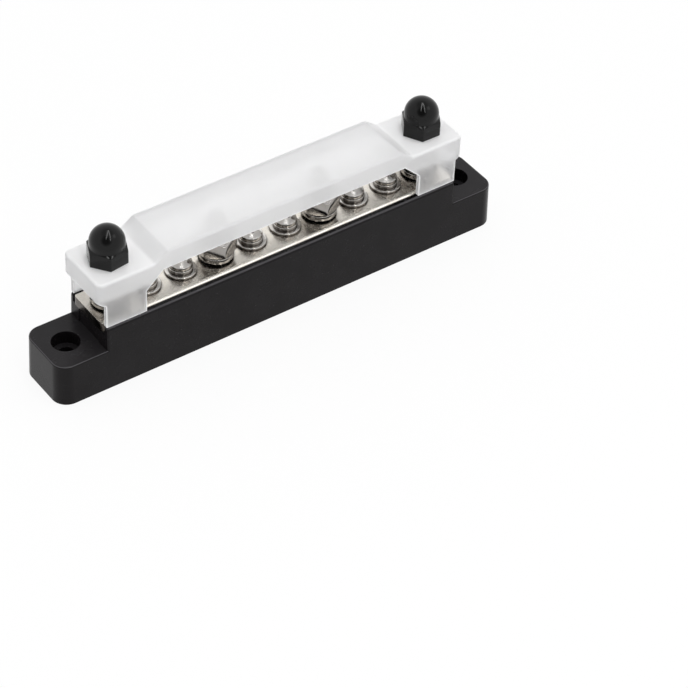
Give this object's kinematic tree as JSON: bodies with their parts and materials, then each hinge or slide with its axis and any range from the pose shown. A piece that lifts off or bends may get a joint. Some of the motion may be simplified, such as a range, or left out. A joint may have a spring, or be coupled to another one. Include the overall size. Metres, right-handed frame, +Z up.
{
  "type": "covered bus bar",
  "caption": "Power distribution bus bar: a plated bar in a black moulded base with studs and terminal screws, under a frosted cover held by black cap nuts.",
  "frame": {"origin": "bottom centre of the base, on the surface it stands on", "axes": "+X along the bar, +Y across it, +Z up"},
  "size_m": [0.1446, 0.0196, 0.0461],
  "materials": {
    "base_moulding": "semi-gloss",
    "bar_plating": "satin nickel",
    "bright_steel": "polished",
    "cover_moulding": "frosted, lets light through",
    "cap_moulding": "gloss"
  },
  "bodies": {
    "base": {"base": "base_moulding", "bar": "bar_plating", "stud_1": "bright_steel", "stud_2": "bright_steel", "stud_3": "bright_steel", "stud_4": "bright_steel"},
    "cover": {"cover": "cover_moulding"},
    "cap_nut_left": {"cap_nut_left": "cap_moulding"},
    "cap_nut_right": {"cap_nut_right": "cap_moulding"},
    "stud_washer_1": {"stud_lock_washer_1": "bright_steel"},
    "stud_nut_1": {"stud_nut_1": "bright_steel"},
    "stud_washer_2": {"stud_lock_washer_2": "bright_steel"},
    "stud_nut_2": {"stud_nut_2": "bright_steel"},
    "stud_washer_3": {"stud_lock_washer_3": "bright_steel"},
    "stud_nut_3": {"stud_nut_3": "bright_steel"},
    "stud_washer_4": {"stud_lock_washer_4": "bright_steel"},
    "stud_nut_4": {"stud_nut_4": "bright_steel"},
    "screw_washers_1": {"screw_lock_washer_1": "bright_steel", "screw_flat_washer_1": "bright_steel"},
    "terminal_screw_1": {"terminal_screw_1": "bright_steel"},
    "screw_washers_2": {"screw_lock_washer_2": "bright_steel", "screw_flat_washer_2": "bright_steel"},
    "terminal_screw_2": {"terminal_screw_2": "bright_steel"},
    "screw_washers_3": {"screw_lock_washer_3": "bright_steel", "screw_flat_washer_3": "bright_steel"},
    "terminal_screw_3": {"terminal_screw_3": "bright_steel"},
    "screw_washers_4": {"screw_lock_washer_4": "bright_steel", "screw_flat_washer_4": "bright_steel"},
    "terminal_screw_4": {"terminal_screw_4": "bright_steel"},
    "screw_washers_5": {"screw_lock_washer_5": "bright_steel", "screw_flat_washer_5": "bright_steel"},
    "terminal_screw_5": {"terminal_screw_5": "bright_steel"},
    "screw_washers_6": {"screw_lock_washer_6": "bright_steel", "screw_flat_washer_6": "bright_steel"},
    "terminal_screw_6": {"terminal_screw_6": "bright_steel"}
  },
  "joints": [
    {"name": "cover_lift", "type": "slide", "parent": "base", "child": "cover", "axis": [0, 0, 1], "range_m": [0, 0.025]},
    {"name": "cap_nut_left_turn", "type": "hinge", "parent": "cover", "child": "cap_nut_left", "pos_m": [-0.051, 0, 0.0355], "axis": [0, 0, 1], "continuous": true},
    {"name": "cap_nut_right_turn", "type": "hinge", "parent": "cover", "child": "cap_nut_right", "pos_m": [0.051, 0, 0.0355], "axis": [0, 0, 1], "continuous": true},
    {"name": "stud_nut_1_rise", "type": "slide", "parent": "base", "child": "stud_washer_1", "axis": [0, 0, 1], "range_m": [0, 0.0055]},
    {"name": "stud_nut_1_turn", "type": "hinge", "parent": "stud_washer_1", "child": "stud_nut_1", "pos_m": [-0.051, 0, 0.0234], "axis": [0, 0, 1], "range_deg": [0, 1981]},
    {"name": "stud_nut_2_rise", "type": "slide", "parent": "base", "child": "stud_washer_2", "axis": [0, 0, 1], "range_m": [0, 0.008]},
    {"name": "stud_nut_2_turn", "type": "hinge", "parent": "stud_washer_2", "child": "stud_nut_2", "pos_m": [-0.017, 0, 0.0234], "axis": [0, 0, 1], "range_deg": [0, 2881]},
    {"name": "stud_nut_3_rise", "type": "slide", "parent": "base", "child": "stud_washer_3", "axis": [0, 0, 1], "range_m": [0, 0.008]},
    {"name": "stud_nut_3_turn", "type": "hinge", "parent": "stud_washer_3", "child": "stud_nut_3", "pos_m": [0.017, 0, 0.0234], "axis": [0, 0, 1], "range_deg": [0, 2881]},
    {"name": "stud_nut_4_rise", "type": "slide", "parent": "base", "child": "stud_washer_4", "axis": [0, 0, 1], "range_m": [0, 0.0055]},
    {"name": "stud_nut_4_turn", "type": "hinge", "parent": "stud_washer_4", "child": "stud_nut_4", "pos_m": [0.051, 0, 0.0234], "axis": [0, 0, 1], "range_deg": [0, 1981]},
    {"name": "terminal_screw_1_rise", "type": "slide", "parent": "base", "child": "screw_washers_1", "axis": [0, 0, 1], "range_m": [0, 0.0055]},
    {"name": "terminal_screw_1_turn", "type": "hinge", "parent": "screw_washers_1", "child": "terminal_screw_1", "pos_m": [-0.03967, 0, 0.0228], "axis": [0, 0, 1], "range_deg": [0, 2830]},
    {"name": "terminal_screw_2_rise", "type": "slide", "parent": "base", "child": "screw_washers_2", "axis": [0, 0, 1], "range_m": [0, 0.0055]},
    {"name": "terminal_screw_2_turn", "type": "hinge", "parent": "screw_washers_2", "child": "terminal_screw_2", "pos_m": [-0.02833, 0, 0.0228], "axis": [0, 0, 1], "range_deg": [0, 2830]},
    {"name": "terminal_screw_3_rise", "type": "slide", "parent": "base", "child": "screw_washers_3", "axis": [0, 0, 1], "range_m": [0, 0.0055]},
    {"name": "terminal_screw_3_turn", "type": "hinge", "parent": "screw_washers_3", "child": "terminal_screw_3", "pos_m": [-0.00567, 0, 0.0228], "axis": [0, 0, 1], "range_deg": [0, 2830]},
    {"name": "terminal_screw_4_rise", "type": "slide", "parent": "base", "child": "screw_washers_4", "axis": [0, 0, 1], "range_m": [0, 0.0055]},
    {"name": "terminal_screw_4_turn", "type": "hinge", "parent": "screw_washers_4", "child": "terminal_screw_4", "pos_m": [0.00567, 0, 0.0228], "axis": [0, 0, 1], "range_deg": [0, 2830]},
    {"name": "terminal_screw_5_rise", "type": "slide", "parent": "base", "child": "screw_washers_5", "axis": [0, 0, 1], "range_m": [0, 0.0055]},
    {"name": "terminal_screw_5_turn", "type": "hinge", "parent": "screw_washers_5", "child": "terminal_screw_5", "pos_m": [0.02833, 0, 0.0228], "axis": [0, 0, 1], "range_deg": [0, 2830]},
    {"name": "terminal_screw_6_rise", "type": "slide", "parent": "base", "child": "screw_washers_6", "axis": [0, 0, 1], "range_m": [0, 0.0055]},
    {"name": "terminal_screw_6_turn", "type": "hinge", "parent": "screw_washers_6", "child": "terminal_screw_6", "pos_m": [0.03967, 0, 0.0228], "axis": [0, 0, 1], "range_deg": [0, 2830]}
  ],
  "couplings": [
    {"joint": "stud_nut_1_turn", "follows": "stud_nut_1_rise", "rad_per_m": 6283.2},
    {"joint": "stud_nut_2_turn", "follows": "stud_nut_2_rise", "rad_per_m": 6283.2},
    {"joint": "stud_nut_3_turn", "follows": "stud_nut_3_rise", "rad_per_m": 6283.2},
    {"joint": "stud_nut_4_turn", "follows": "stud_nut_4_rise", "rad_per_m": 6283.2},
    {"joint": "terminal_screw_1_turn", "follows": "terminal_screw_1_rise", "rad_per_m": 8976},
    {"joint": "terminal_screw_2_turn", "follows": "terminal_screw_2_rise", "rad_per_m": 8976},
    {"joint": "terminal_screw_3_turn", "follows": "terminal_screw_3_rise", "rad_per_m": 8976},
    {"joint": "terminal_screw_4_turn", "follows": "terminal_screw_4_rise", "rad_per_m": 8976},
    {"joint": "terminal_screw_5_turn", "follows": "terminal_screw_5_rise", "rad_per_m": 8976},
    {"joint": "terminal_screw_6_turn", "follows": "terminal_screw_6_rise", "rad_per_m": 8976}
  ]
}
